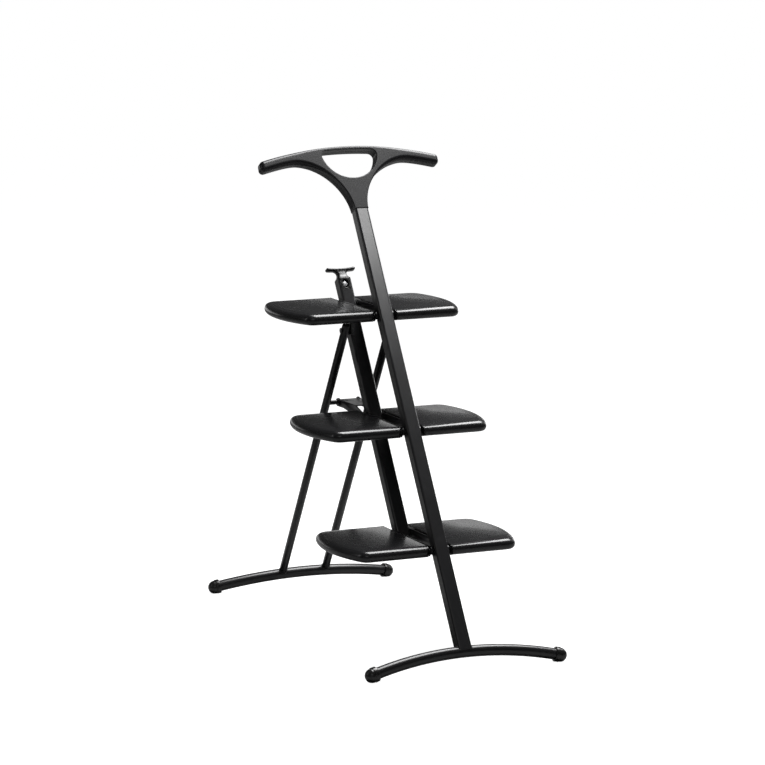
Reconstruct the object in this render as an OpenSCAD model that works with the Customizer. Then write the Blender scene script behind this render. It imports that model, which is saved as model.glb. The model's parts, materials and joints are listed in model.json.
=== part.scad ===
// Folding library ladder: one front rail with a tee handle, a second rail behind it,
// three split treads hinged on both rails, and a rear leg frame held by a hooked stay.
// Millimetres. X is across, +Y is to the back, +Z is up, the feet stand on z = 0.

/* [Overall] */
// Height from one tread to the next
tread_pitch = 235; // [200:1:260]
// Height of the first tread's top
first_tread = 246; // [220:1:290]
// Lean of the front rail from vertical
rail_tilt = 31.65; // [28:0.5:34]
// Depth from the front foot line to the rear foot line
foot_depth = 903; // [860:1:1000]
// Width of the front foot over the end of its tube
foot_w = 440; // [400:2:500]

/* [Rails] */
// Width of both rail tubes
rail_w = 32; // [28:1:32]
// Depth of both rail tubes
rail_d = 27; // [24:1:28]
// Outer corner radius of the rail tubes
rail_r = 5; // [3:0.5:6]
// Wall of the rail tubes
rail_wall = 2; // [1.5:0.25:2.5]
// Level distance between the two rails
rail_gap = 201; // [180:1:230]
// How far the front rail runs above the top tread, up to the handle
rail_rise = 206; // [180:1:280]
// How far the tread pivots sit inside the rail axes
pivot_in = 5; // [2:0.5:6]
// How far the second rail runs above the top tread
inner_rise = 38; // [30:1:60]

/* [Treads] */
// Full width over both halves
tread_w = 418; // [380:2:440]
// Depth from front edge to back edge
tread_d = 251; // [225:1:255]
// Thickness of a tread at its edge
tread_t = 24.5; // [22:0.5:28]
// Slot between the two halves
slot_w = 52; // [48:1:58]
// Radius of the bulging sides
side_r = 300; // [260:5:400]
// Radius of the front outer corner
front_corner = 25; // [15:1:30]
// Radius of the rear outer corner
rear_corner = 35; // [20:1:40]
// Wall of the moulded halves
tread_wall = 3; // [2.5:0.25:4]
// Depth of the pivots below a tread's top
pivot_drop = 11; // [10:0.5:12]

/* [Rear legs] */
// Outer diameter of a leg tube
leg_dia = 18; // [16:1:20]
// Distance between the two leg tubes
leg_span = 108.6; // [100:1:120]
// Depth of the leg hinge below the top tread
leg_drop = 54; // [52:1:58]
// Distance of the leg hinge behind the top tread's front edge
leg_hinge_in = 97.2; // [90:0.4:103]
// Height of the crossbar above the second tread's top
crossbar_rise = 1; // [-11:1:9]
// Diameter of the crossbar
crossbar_dia = 10; // [9:1:12]

/* [Feet] */
// Outer diameter of both foot tubes
foot_dia = 25; // [22:1:28]
// Wall of the foot and leg tubes
foot_wall = 1.5; // [1.25:0.25:2]
// Height of the foot tube's end above the floor
foot_z = 14; // [13.5:0.25:14.5]
// Rise of the front foot's arch
front_arch = 30; // [22:1:40]
// Rise of the rear foot's arch
rear_arch = 24; // [20:1:34]
// Length of a foot cap's collar over the tube
cap_len = 12; // [10:1:24]
// Wall of a foot cap's collar
cap_wall = 4; // [3:0.25:4.5]
// How far a foot cap's collar ends short of its tube
cap_step = 2; // [1:0.5:4]

/* [Handle] */
// Width of the handle bar
handle_w = 432; // [380:2:460]
// Height of the handle above the rail's end
handle_h = 155; // [148:1:165]
// Thickness of the handle
handle_t = 28; // [28:1:34]
// Height of the bar
bar_h = 25.5; // [23:0.5:28]
// Radius of the bar's curve
bar_r = 820; // [700:10:1000]
// Radius of the hand hole
hole_r = 67.5; // [62:0.5:70]

/* [Pins] */
// Diameter of the pivot pins
pin_dia = 8; // [7:0.5:9]
// Radial play of a pin in its bush
pin_play = 0.05; // [0.03:0.01:0.08]
// Gap between parts that swing past each other
side_play = 0.4; // [0.3:0.1:0.5]

/* [Hidden] */
$fn = 48;

eps = 0.01;
far = 400;
steel = [0.13, 0.13, 0.14];
plastic = [0.09, 0.09, 0.10];
moulding = [0.20, 0.20, 0.21];
zinc = [0.45, 0.46, 0.48];

// The origin lies on the floor, midway between the two foot lines
front_line = -foot_depth / 2;

// Lengths measured along the front rail from the foot line
lean = tan(rail_tilt);
top_tread = first_tread + 2 * tread_pitch;
rail_len = (top_tread + rail_rise - foot_z) / cos(rail_tilt);
inner_off = rail_gap * cos(rail_tilt);
inner_lift = rail_gap * sin(rail_tilt);
inner_top = (top_tread + inner_rise - foot_z) / cos(rail_tilt) + inner_lift;

function tread_z(k) = first_tread + (k - 1) * tread_pitch;
function pivot_z(k) = tread_z(k) - pivot_drop;
// A tread's front pivot lies behind the front rail's axis, its rear pivot ahead of the other's
function front_pivot_y(k) = front_line + (pivot_z(k) - foot_z) * lean + pivot_in / cos(rail_tilt);
pivot_span = rail_gap - 2 * pivot_in / cos(rail_tilt);
front_pivot_in = 10;
tread_y = [for (k = [0:3]) front_pivot_y(k) - front_pivot_in];

// Layers across the slot, from the rail outward
arm_t = 3;
arm_in = rail_w / 2 + 2;
arm_out = arm_in + arm_t;
collar_t = 1;
stay_t = 3;
stay_in = arm_out + collar_t + side_play;
stay_out = stay_in + stay_t;
bush_wall = 1.5;
bush_dia = pin_dia + 2 * pin_play + 2 * bush_wall;
flange_dia = bush_dia + 4;

// The rear leg frame
hinge_line = tread_y[3] + leg_hinge_in;
leg_hinge_z = top_tread - leg_drop;
leg_tilt = atan((-front_line - hinge_line) / (leg_hinge_z - foot_z));
leg_len = (leg_hinge_z - foot_z) / cos(leg_tilt);
leg_end = 11;
crossbar_z = tread_z(2) + crossbar_rise;
crossbar_y = -front_line - (crossbar_z - foot_z) * tan(leg_tilt);

module at_front_rail() { translate([0, front_line, foot_z]) rotate([-rail_tilt, 0, 0]) children(); }
module at_inner_rail() { at_front_rail() translate([0, inner_off, 0]) children(); }
module at_leg_frame() { translate([0, -front_line, foot_z]) rotate([leg_tilt, 0, 0]) children(); }
module across(r, l) { rotate([0, 90, 0]) cylinder(r = r, h = l, center = true); }
module side_profile(x, t) { translate([x, 0, 0]) rotate([90, 0, 90]) linear_extrude(t) children(); }
module both_sides() { children(); mirror([1, 0, 0]) children(); }

function arc(c, r, from, to, n) =
    [for (k = [0:n]) c + r * [cos(from + (to - from) * k / n), sin(from + (to - from) * k / n)]];

module round_rect(w, d, r) {
    square([w - 2 * r, d], center = true);
    square([w, d - 2 * r], center = true);
    for (x = [-1, 1], y = [-1, 1])
        translate([x * (w / 2 - r), y * (d / 2 - r)]) circle(r);
}

// ---- rails ----

module rail_tube(from, to) {
    translate([0, 0, from]) linear_extrude(to - from) difference() {
        round_rect(rail_w, rail_d, rail_r);
        round_rect(rail_w - 2 * rail_wall, rail_d - 2 * rail_wall, rail_r - rail_wall);
    }
}

// The three tread pivots on the front rail, or on the inner rail a span behind them
module at_pivots(behind = 0) for (k = [1:3]) translate([0, front_pivot_y(k) + behind, pivot_z(k)]) children();

module front_rail() color(steel) difference() {
    at_front_rail() rail_tube(0, rail_len);
    at_front_rail() foot_bar(front_arch, foot_dia / 2);
    at_front_rail() translate([0, 0, -far / 2 + front_arch]) cube([far, far, far], center = true);
    at_pivots() across(bush_dia / 2, 2 * rail_w);
    at_front_rail() core_screw_hole();
}

module inner_rail() color(steel) difference() {
    at_inner_rail() rail_tube(inner_foot, inner_top);
    at_pivots(pivot_span) across(bush_dia / 2, 2 * rail_w);
    at_inner_rail() translate([0, -rail_d / 2, inner_top - recess_h / 2])
        cube([recess_w, 3 * rail_wall, recess_h + eps], center = true);
}
rear_pivot_s = (front_pivot_y(1) + pivot_span - front_line) * sin(rail_tilt)
    + (pivot_z(1) - foot_z) * cos(rail_tilt);
inner_foot = rear_pivot_s - 22;
plug_len = 12;
recess_h = 26;
recess_w = 23;

module inner_rail_plug() color(plastic) at_inner_rail() {
    translate([0, 0, inner_foot]) linear_extrude(plug_len)
        round_rect(rail_w - 2 * rail_wall, rail_d - 2 * rail_wall, rail_r - rail_wall);
    translate([0, 0, inner_foot - 3]) linear_extrude(3) round_rect(rail_w, rail_d, rail_r);
}

// A plain tube with a shoulder at each end, in the rail's bores
module bush() {
    difference() {
        union() {
            across(bush_dia / 2, rail_w);
            for (s = [-1, 1]) translate([s * (rail_w / 2 + bush_head / 2), 0, 0])
                across(flange_dia / 2, bush_head);
        }
        across(pin_dia / 2 + pin_play, rail_w + 20);
    }
}
bush_head = arm_in - rail_w / 2 - side_play;

module front_bushes() color("dimgray") at_pivots() bush();
module inner_bushes() color("dimgray") at_pivots(pivot_span) bush();

// ---- feet ----

cap_play = 0.05;

// A bar bent to an arch, in the plane of its legs, with its ends on the foot line
module foot_bar(rise, r) {
    half = foot_w / 2;
    radius = (half * half + rise * rise) / (2 * rise);
    spread = asin(half / radius);
    translate([0, 0, rise - radius]) rotate([90, 0, 0]) rotate([0, 0, 90 - spread])
        rotate_extrude(angle = 2 * spread, $fn = 360) translate([radius, 0]) circle(r);
}

// The place and direction of the bar's end
module at_foot_end(rise) {
    half = foot_w / 2;
    radius = (half * half + rise * rise) / (2 * rise);
    translate([half, 0, 0]) rotate([0, 90 + asin(half / radius), 0]) children();
}

module foot_tube(rise) difference() {
    foot_bar(rise, foot_dia / 2);
    foot_bar(rise, foot_dia / 2 - foot_wall);
}

// A collar and a dome, bored to the curve of the tube
module foot_cap(rise) {
    outer = foot_dia / 2 + cap_wall;
    difference() {
        at_foot_end(rise) {
            translate([0, 0, -cap_len]) cylinder(r = outer, h = cap_len - cap_step);
            intersection() {
                sphere(outer - 1);
                translate([0, 0, -cap_step - eps]) cylinder(r = outer, h = 2 * outer);
            }
        }
        foot_bar(rise, foot_dia / 2 + cap_play);
    }
}

module on_floor() difference() {
    children();
    translate([0, 0, -50]) cube([foot_w + far, foot_depth + far, 100], center = true);
}

module front_foot_tube() color(steel) at_front_rail() foot_tube(front_arch);
module front_foot_cap_right() color(plastic) on_floor() at_front_rail() foot_cap(front_arch);
module front_foot_cap_left() color(plastic) mirror([1, 0, 0]) front_foot_cap_right();
module rear_foot_tube() color(steel) at_leg_frame() foot_tube(rear_arch);
module rear_foot_cap_right() color(plastic) on_floor() at_leg_frame() foot_cap(rear_arch);
module rear_foot_cap_left() color(plastic) mirror([1, 0, 0]) rear_foot_cap_right();

// ---- handle ----

shell_wall = 3;
core_w = 14;
core_t = 16;
core_len = 70;
core_rise = 27;
hole_in = 11.2;
hole_s = handle_h - hole_in;
rim_h = 8.5;

// The neck's curve starts below the rail's end and runs out into the underside of the bar
neck_drop = 6;
neck_share = 1 + rail_w / (2 * bar_r);
neck_rise = handle_h - bar_h + neck_drop - rail_w * rail_w / (8 * bar_r);
neck_r = bar_r * (sqrt(neck_share * neck_share + 2 * neck_rise / bar_r) - neck_share);
neck_x = rail_w / 2 + neck_r;

// Outline across the rail, drawn in by i: a curved bar that flares down into the neck
module handle_outline(i = 0) {
    intersection() {
        translate([0, handle_h - bar_r]) difference() {
            circle(bar_r - i, $fn = 720);
            circle(bar_r - bar_h + i, $fn = 720);
        }
        translate([-handle_w / 2 + i, 0]) square([handle_w - 2 * i, handle_h]);
    }
    difference() {
        intersection() {
            translate([0, handle_h - bar_r]) circle(bar_r - i, $fn = 720);
            translate([-neck_x, i]) square([2 * neck_x, handle_h]);
        }
        for (s = [-1, 1]) translate([s * neck_x, -neck_drop]) circle(neck_r + i, $fn = 180);
    }
}

// A half-round hand hole under the bar, drawn out by i
module hand_hole(i = 0) intersection() {
    translate([0, hole_s]) circle(hole_r + i, $fn = 120);
    translate([0, handle_h - bar_r]) circle(bar_r - rim_h + i, $fn = 720);
}

module handle_shell(side) at_front_rail() translate([0, 0, rail_len]) rotate([90, 0, 0]) difference() {
    translate([0, 0, side > 0 ? 0 : -handle_t / 2]) linear_extrude(handle_t / 2)
        difference() { handle_outline(); hand_hole(); }
    translate([0, 0, side > 0 ? -eps : -handle_t / 2 + shell_wall])
        linear_extrude(handle_t / 2 - shell_wall + eps)
            difference() { handle_outline(shell_wall); hand_hole(shell_wall); }
    translate([-core_w / 2, -eps, -core_t / 2]) cube([core_w, shell_wall + 2 * eps, core_t]);
}
module handle_front() color(plastic) handle_shell(1);
module handle_rear() color(plastic) difference() {
    handle_shell(-1);
    at_handle_screws() cylinder(d = 4, h = handle_t, center = true);
}

// Four screws from the back and one through the core
screw_x = [-150, -95, 95, 150];
module at_handle_screws() at_front_rail() translate([0, 0, rail_len]) rotate([90, 0, 0])
    for (x = screw_x) translate([x, handle_h - bar_h / 2 - x * x / (2 * bar_r), 0]) children();
module handle_screws() color(zinc) at_handle_screws() {
    translate([0, 0, -handle_t / 2 - 2]) cylinder(d = 7, h = 2);
    translate([0, 0, -handle_t / 2]) cylinder(d = 4, h = handle_t - shell_wall);
}

// The plug that joins the handle to the rail's end, with a screw from the back
core_screw_in = 30;
core_screw_dia = 5;
core_screw_out = 2;
module core_screw_hole() translate([0, 0, rail_len - core_screw_in]) rotate([-90, 0, 0])
    cylinder(d = core_screw_dia, h = rail_d / 2 + core_screw_out);
module handle_core() color(zinc) at_front_rail() {
    translate([0, 0, rail_len - core_len]) linear_extrude(core_len)
        round_rect(rail_w - 2 * rail_wall, rail_d - 2 * rail_wall, rail_r - rail_wall);
    translate([0, 0, rail_len]) linear_extrude(core_rise) square([core_w, core_t], center = true);
    core_screw_hole();
}

// ---- treads ----

// Outline of the right half, seen from above, drawn in by i; y = 0 is the front edge
slot_corner = 8;
side_middle = 0.53 * tread_d;
side_steps = 12;
corner_steps = 8;
slot_steps = 4;
side_c = [tread_w / 2 - side_r, side_middle];
front_c = [side_c.x + sqrt(pow(side_r - front_corner, 2) - pow(side_middle - front_corner, 2)), front_corner];
rear_line = tread_d - rear_corner;
rear_c = [side_c.x + sqrt(pow(side_r - rear_corner, 2) - pow(rear_line - side_middle, 2)), rear_line];
front_turn = atan2(front_c.y - side_middle, front_c.x - side_c.x);
rear_turn = atan2(rear_c.y - side_middle, rear_c.x - side_c.x);
function side_points(i) = arc(side_c, side_r - i, front_turn, rear_turn, side_steps);
function half_points(i) = concat(
    arc([slot_w / 2 + slot_corner, slot_corner], slot_corner - i, 180, 270, slot_steps),
    arc(front_c, front_corner - i, 270, 360 + front_turn, corner_steps),
    [for (k = [1:side_steps - 1]) side_points(i)[k]],
    arc(rear_c, rear_corner - i, rear_turn, 90, corner_steps),
    arc([slot_w / 2 + slot_corner, tread_d - slot_corner], slot_corner - i, 90, 180, slot_steps)
);
module half_outline(i = 0) polygon(half_points(i));

// The half as a whole block, with its top edge rounded and its lower edge broken
edge_r = 7;
lower_break = 1.5;
edge_turn = 30;
edge_levels = concat(
    [[-tread_t, lower_break], [lower_break - tread_t, 0]],
    [for (a = [0:edge_turn:90]) [edge_r * (sin(a) - 1), edge_r * (1 - cos(a))]]
);
module half_block() {
    n = len(half_points(0));
    rings = len(edge_levels);
    polyhedron(
        points = [for (l = edge_levels, p = half_points(l[1])) [p.x, p.y, l[0]]],
        faces = concat(
            [[for (k = [0:n - 1]) k]],
            [for (j = [0:rings - 2], k = [0:n - 1])
                [j * n + k, (j + 1) * n + k, (j + 1) * n + (k + 1) % n, j * n + (k + 1) % n]],
            [[for (k = [n - 1:-1:0]) (rings - 1) * n + k]]
        )
    );
}

arm_from = 14;
arm_to = 180;
arm_reach = 120;
deck_t = 3.5;
rib_t = 2.5;
rib_gap = tread_t - arm_t;
rib_step_x = 36;
rib_step_y = 49;
arm_screw_dia = 4;
arm_screw_in = tread_t - deck_t - 1;

module at_tread(k) translate([0, tread_y[k], tread_z(k)]) children();

module tread_half() difference() {
    union() {
        difference() {
            half_block();
            translate([0, 0, -tread_t - eps]) linear_extrude(tread_t - deck_t + eps) half_outline(tread_wall);
        }
        translate([0, 0, -rib_gap]) linear_extrude(rib_gap - deck_t + eps) intersection() {
            half_outline(tread_wall - eps);
            union() {
                for (x = [slot_w / 2 + rib_step_x:rib_step_x:tread_w / 2])
                    translate([x, 0]) square([rib_t, tread_d]);
                for (y = [rib_step_y:rib_step_y:tread_d - rib_step_y / 2])
                    translate([0, y]) square([tread_w, rib_t]);
            }
        }
    }
    // room for the arm's foot
    translate([0, arm_from - 0.5, -tread_t - eps]) cube([arm_reach + 0.5, arm_to - arm_from + 1, arm_t + eps]);
    at_arm_screws() translate([0, 0, -tread_t]) cylinder(d = arm_screw_dia, h = arm_screw_in);
}

arm_screw_y = [30, 64, 160];
module at_arm_screws() for (x = [44, 104], y = arm_screw_y) translate([x, y, 0]) children();

// A steel angle under each half: its web carries both pivots
module tread_arm() difference() {
    union() {
        translate([arm_in, arm_from, -tread_t]) cube([arm_reach - arm_in, arm_to - arm_from, arm_t]);
        side_profile(arm_in, arm_t) {
            translate([front_pivot_in, -pivot_drop]) circle(9);
            translate([front_pivot_in + pivot_span, -pivot_drop]) circle(9);
            polygon([[front_pivot_in, -pivot_drop + 9], [front_pivot_in, -pivot_drop - 9],
                [arm_from + 4, -tread_t], [arm_to, -tread_t],
                [front_pivot_in + pivot_span, -pivot_drop - 9],
                [front_pivot_in + pivot_span, -pivot_drop + 9]]);
        }
    }
    for (y = [0, pivot_span]) translate([arm_in + arm_t / 2, front_pivot_in + y, -pivot_drop])
        across(pin_dia / 2, 2 * arm_t);
    at_arm_screws() translate([0, 0, -tread_t - eps]) cylinder(d = arm_screw_dia, h = arm_t + 2 * eps);
}

screw_head_t = 1.8;
module tread_screw_set() both_sides() at_arm_screws() {
    translate([0, 0, -tread_t - screw_head_t]) cylinder(d = 2 * arm_screw_dia, h = screw_head_t);
    translate([0, 0, -tread_t]) cylinder(d = arm_screw_dia, h = arm_screw_in);
}

// A pin through both arms with a clip outside each
module pivot_pin(reach) {
    across(pin_dia / 2, 2 * reach);
    for (s = [-1, 1]) translate([s * (arm_out + collar_t / 2), 0, 0]) across(pin_dia / 2 + 2.5, collar_t);
}
pin_reach = arm_out + 2.5;
hook_reach = stay_out + 0.5;

module tread_left(k) color(moulding) mirror([1, 0, 0]) at_tread(k) tread_half();
module tread_right(k) color(moulding) at_tread(k) tread_half();
module tread_arms(k) color(steel) both_sides() at_tread(k) tread_arm();
module tread_screws(k) color(zinc) at_tread(k) tread_screw_set();
module front_pin(k) color(steel) translate([0, front_pivot_y(k), pivot_z(k)]) pivot_pin(pin_reach);
module rear_pin(k) color(steel) translate([0, front_pivot_y(k) + pivot_span, pivot_z(k)])
    pivot_pin(k == 2 ? hook_reach : pin_reach);

// ---- pull grip on the second rail ----

grip_w = 70;
grip_h = 30;
grip_t = 12;
stem_w = 16;
module pull_grip() color(plastic) at_inner_rail() difference() {
    union() {
        translate([0, 0, inner_top - recess_h - 12]) linear_extrude(recess_h + 12)
            round_rect(rail_w - 2 * rail_wall, rail_d - 2 * rail_wall, rail_r - rail_wall);
        translate([0, 0, inner_top - eps]) linear_extrude(3) round_rect(rail_w, rail_d, rail_r);
        translate([0, grip_t / 2, inner_top]) rotate([90, 0, 0]) linear_extrude(grip_t) difference() {
            translate([-grip_w / 2, 0]) square([grip_w, grip_h]);
            for (s = [-1, 1]) translate([s * (stem_w / 2 + 19), 3]) circle(19);
            for (s = [-1, 1]) translate([s * (stem_w / 2 + 23), -16]) square([46, 38], center = true);
            translate([0, grip_h + 98]) circle(100, $fn = 180);
        }
    }
    translate([0, -rail_d / 2 - eps, inner_top - recess_h / 2 + eps])
        cube([recess_w - 4, 2 * recess_d, recess_h - 2], center = true);
    grip_screw_body();
}
recess_d = 6;
module grip_screw_body() translate([0, 0, inner_top - recess_h / 2]) rotate([90, 0, 0]) {
    translate([0, 0, rail_d / 2 - recess_d]) cylinder(d = 12, h = 3);
    translate([0, 0, -rail_d / 2 + rail_wall]) cylinder(d = 5, h = rail_d - recess_d - rail_wall);
}
module grip_screw() color(zinc) at_inner_rail() grip_screw_body();

// ---- rear legs ----

bracket_t = 4;
bracket_in = leg_span / 2 - leg_dia / 2 - side_play - bracket_t;
bracket_out = leg_span / 2 + leg_dia / 2;
bracket_r = 11;

// A lug under each half of the top tread, on the inner side of its leg
module leg_brackets() color(steel) both_sides() difference() {
    union() {
        translate([bracket_in, hinge_line - 16, top_tread - tread_t - bracket_t])
            cube([bracket_out - bracket_in, 32, bracket_t]);
        side_profile(bracket_in, bracket_t) {
            translate([hinge_line, leg_hinge_z]) circle(bracket_r);
            translate([hinge_line, 0]) polygon([[-bracket_r, leg_hinge_z], [bracket_r, leg_hinge_z],
                [16, top_tread - tread_t - eps], [-16, top_tread - tread_t - eps]]);
        }
    }
    translate([0, hinge_line, leg_hinge_z]) across(pin_dia / 2, far);
}

// Shouldered bolts through the legs into the lugs, with a nut inside
module leg_hinge_bolts() color(steel) both_sides() translate([0, hinge_line, leg_hinge_z]) {
    translate([(bracket_in + bracket_out) / 2, 0, 0]) across(pin_dia / 2, bracket_out - bracket_in);
    translate([bracket_out + side_play + 0.8, 0, 0]) across(6.5, 1.6);
    translate([bracket_out + side_play / 2, 0, 0]) across(pin_dia / 2, side_play);
    translate([bracket_in - 2, 0, 0]) across(6.5, 4);
}

module rear_leg_right() color(steel) difference() {
    at_leg_frame() translate([leg_span / 2, 0, 0]) difference() {
        cylinder(d = leg_dia, h = leg_len + leg_end);
        translate([0, 0, -eps]) cylinder(d = leg_dia - 2 * foot_wall, h = leg_len + leg_end + 2 * eps);
    }
    at_leg_frame() foot_bar(rear_arch, foot_dia / 2);
    at_leg_frame() translate([0, 0, -far / 2 + rear_arch - 4]) cube([far, far, far], center = true);
    translate([leg_span / 2, hinge_line, leg_hinge_z]) across(pin_dia / 2 + pin_play, 2 * leg_dia);
}
module rear_leg_left() color(steel) mirror([1, 0, 0]) rear_leg_right();

// Round plugs in the open ends of the leg tubes
module rear_leg_plugs() color(plastic) both_sides() difference() {
    at_leg_frame() translate([leg_span / 2, 0, leg_len]) intersection() {
        union() {
            translate([0, 0, -14]) cylinder(d = leg_dia - 2 * foot_wall, h = leg_end + 14);
            translate([0, 0, leg_end]) sphere(d = leg_dia);
        }
        translate([0, 0, -14]) cylinder(d = leg_dia, h = 14 + leg_end + leg_dia / 2);
    }
    at_leg_frame() translate([leg_span / 2, 0, leg_len + leg_end - 20]) difference() {
        cylinder(d = leg_dia + 2, h = 20);
        translate([0, 0, -eps]) cylinder(d = leg_dia - 2 * foot_wall, h = 20 + 2 * eps);
    }
    translate([leg_span / 2, hinge_line, leg_hinge_z]) across(pin_dia / 2 + pin_play, 2 * leg_dia);
}

module crossbar() color(steel) difference() {
    translate([0, crossbar_y, crossbar_z]) across(crossbar_dia / 2, leg_span);
    at_leg_frame() both_sides() translate([leg_span / 2, 0, 0]) cylinder(d = leg_dia, h = leg_len);
}

// ---- stay ----

hook_y = front_pivot_y(2) + pivot_span - crossbar_y;
hook_z = pivot_z(2) - crossbar_z;
ear_r = crossbar_dia / 2 + 4.5;
web_top = 8;
web_from = 95;
notch_r = pin_dia / 2 + side_play;

// Side of the stay about the crossbar: an ear at the back, an open hook at the front
module stay_side() difference() {
    union() {
        circle(ear_r);
        polygon([[0, web_top], [-web_from, web_top], [hook_y + 12, hook_z + 9], [hook_y - 9, hook_z + 3],
            [hook_y - 9, hook_z - 6], [hook_y, hook_z - 11], [-30, -9], [0, -ear_r]]);
    }
    circle(crossbar_dia / 2 + pin_play);
    translate([hook_y, hook_z]) circle(notch_r);
    translate([hook_y, hook_z]) polygon([[-notch_r, 0], [notch_r, 0], [notch_r + 18, 30], [-notch_r, 30]]);
}
module stay() color(steel) translate([0, crossbar_y, crossbar_z]) {
    both_sides() side_profile(stay_in, stay_t) stay_side();
    translate([-stay_out, -web_from, web_top - stay_t])
        cube([2 * stay_out, web_from - crossbar_dia / 2 - 3, stay_t]);
}
module stay_washers() color(zinc) translate([0, crossbar_y, crossbar_z]) both_sides()
    translate([stay_out + side_play + 0.75, 0, 0]) difference() {
        across(crossbar_dia / 2 + 4, 1.5);
        across(crossbar_dia / 2, 4);
    }

front_rail();
front_foot_tube();
front_foot_cap_left();
front_foot_cap_right();
handle_front();
handle_rear();
handle_core();
handle_screws();
front_bushes();
inner_rail();
inner_rail_plug();
pull_grip();
grip_screw();
inner_bushes();
tread_left(1);  // tread_1_left
tread_right(1);  // tread_1_right
tread_arms(1);  // tread_1_arms
tread_screws(1);  // tread_1_screws
front_pin(1);  // tread_1_front_pin
rear_pin(1);  // tread_1_rear_pin
tread_left(2);  // tread_2_left
tread_right(2);  // tread_2_right
tread_arms(2);  // tread_2_arms
tread_screws(2);  // tread_2_screws
front_pin(2);  // tread_2_front_pin
rear_pin(2);  // tread_2_rear_pin
tread_left(3);  // tread_3_left
tread_right(3);  // tread_3_right
tread_arms(3);  // tread_3_arms
tread_screws(3);  // tread_3_screws
front_pin(3);  // tread_3_front_pin
rear_pin(3);  // tread_3_rear_pin
leg_brackets();
leg_hinge_bolts();
rear_leg_left();
rear_leg_right();
rear_leg_plugs();
crossbar();
rear_foot_tube();
rear_foot_cap_left();
rear_foot_cap_right();
stay();
stay_washers();
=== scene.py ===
import json
import math
import bmesh
import bpy
from mathutils import Matrix, Vector


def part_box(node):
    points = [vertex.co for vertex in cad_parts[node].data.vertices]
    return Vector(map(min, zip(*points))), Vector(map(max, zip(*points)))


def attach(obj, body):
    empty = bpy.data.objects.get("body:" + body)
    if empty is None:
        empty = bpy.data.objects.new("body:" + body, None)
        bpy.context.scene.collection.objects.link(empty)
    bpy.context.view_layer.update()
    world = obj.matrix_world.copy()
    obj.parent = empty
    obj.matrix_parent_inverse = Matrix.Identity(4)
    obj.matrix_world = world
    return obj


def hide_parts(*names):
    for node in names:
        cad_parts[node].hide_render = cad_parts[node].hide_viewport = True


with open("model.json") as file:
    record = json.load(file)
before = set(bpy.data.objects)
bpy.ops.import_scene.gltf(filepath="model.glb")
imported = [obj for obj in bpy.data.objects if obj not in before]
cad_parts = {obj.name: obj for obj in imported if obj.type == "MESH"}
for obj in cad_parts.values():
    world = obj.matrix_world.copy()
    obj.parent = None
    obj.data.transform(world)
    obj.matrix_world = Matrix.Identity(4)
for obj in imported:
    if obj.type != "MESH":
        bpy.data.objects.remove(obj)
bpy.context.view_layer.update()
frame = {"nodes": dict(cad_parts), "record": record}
print("frame loaded:", len(frame["nodes"]), "nodes")

mm = 0.001
hinges = {joint["name"]: Vector(joint["pos_m"]) for joint in frame["record"]["behaviour"]["joints"]}
bodyOf = {node: body for body, nodes in frame["record"]["behaviour"]["bodies"].items() for node in nodes}
acrossDir = Vector((1, 0, 0))


# ---- materials ----

class Wire:
    # a socket of a node tree; an expression on wires adds its Math nodes
    def __init__(self, tree, socket=None):
        self.tree = tree
        self.socket = socket

    def node(self, kind, settings=None, inputs=None, out=0):
        made = self.tree.nodes.new(kind)
        for key, value in (settings or {}).items():
            if key == "stops":
                stops = made.color_ramp.elements
                while len(stops) < len(value):
                    stops.new(0.5)
                for stop, (place, grey) in zip(stops, value):
                    stop.position = place
                    stop.color = (grey, grey, grey, 1)
            else:
                setattr(made, key, value)
        for key, value in (inputs or {}).items():
            if isinstance(value, Wire):
                self.tree.links.new(value.socket, made.inputs[key])
            else:
                made.inputs[key].default_value = value
        return Wire(self.tree, made.outputs[out])

    def maths(self, operation, first, second):
        return self.node("ShaderNodeMath", {"operation": operation}, {0: first, 1: second})

    def __add__(self, other):
        return self.maths("ADD", self, other)

    def __sub__(self, other):
        return self.maths("SUBTRACT", self, other)

    def __rsub__(self, other):
        return self.maths("SUBTRACT", other, self)

    def __mul__(self, other):
        return self.maths("MULTIPLY", self, other)

    __radd__ = __add__
    __rmul__ = __mul__


def makeFinish(name, fixed, surface):
    # fixed goes straight on the shader; surface gives what changes over the piece
    material = bpy.data.materials.new(name)
    material.use_nodes = True
    shader = material.node_tree.nodes["Principled BSDF"]
    for key, value in fixed.items():
        shader.inputs[key].default_value = value
    wire = Wire(material.node_tree)
    place = wire.node("ShaderNodeTexCoord", out="Object")
    for key, value in surface(wire, place).items():
        material.node_tree.links.new(value.socket, shader.inputs[key])
    return material


def noise(wire, place, scale, detail=2.0, roughness=0.5):
    return wire.node("ShaderNodeTexNoise", None,
                     {"Vector": place, "Scale": scale, "Detail": detail, "Roughness": roughness})


def tint(wire, mask, low, high):
    return wire.node("ShaderNodeMix", {"data_type": "RGBA"},
                     {0: mask, 6: (*low, 1), 7: (*high, 1)}, out=2)


def bump(wire, height, strength, distance):
    return wire.node("ShaderNodeBump", None,
                     {"Height": height, "Strength": strength, "Distance": distance})


def paintSurface(wire, place):
    peel = noise(wire, place, 420, 3)
    cloud = noise(wire, place, 14, 4)
    dust = wire.node("ShaderNodeValToRGB", {"stops": [(0.56, 0.0), (0.74, 1.0)]},
                     {0: noise(wire, place, 90, 6, 0.7)})
    return {"Base Color": tint(wire, dust * 0.35, (0.010, 0.010, 0.011), (0.022, 0.022, 0.023)),
            "Roughness": 0.25 + 0.10 * cloud + 0.05 * dust,
            "Normal": bump(wire, peel, 0.10, 0.0003)}


def handleSurface(wire, place):
    grain = noise(wire, place, 1500, 2)
    cloud = noise(wire, place, 25, 3)
    return {"Base Color": tint(wire, cloud, (0.010, 0.010, 0.011), (0.016, 0.016, 0.017)),
            "Roughness": 0.24 + 0.07 * cloud,
            "Normal": bump(wire, grain, 0.01, 0.00005)}


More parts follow.
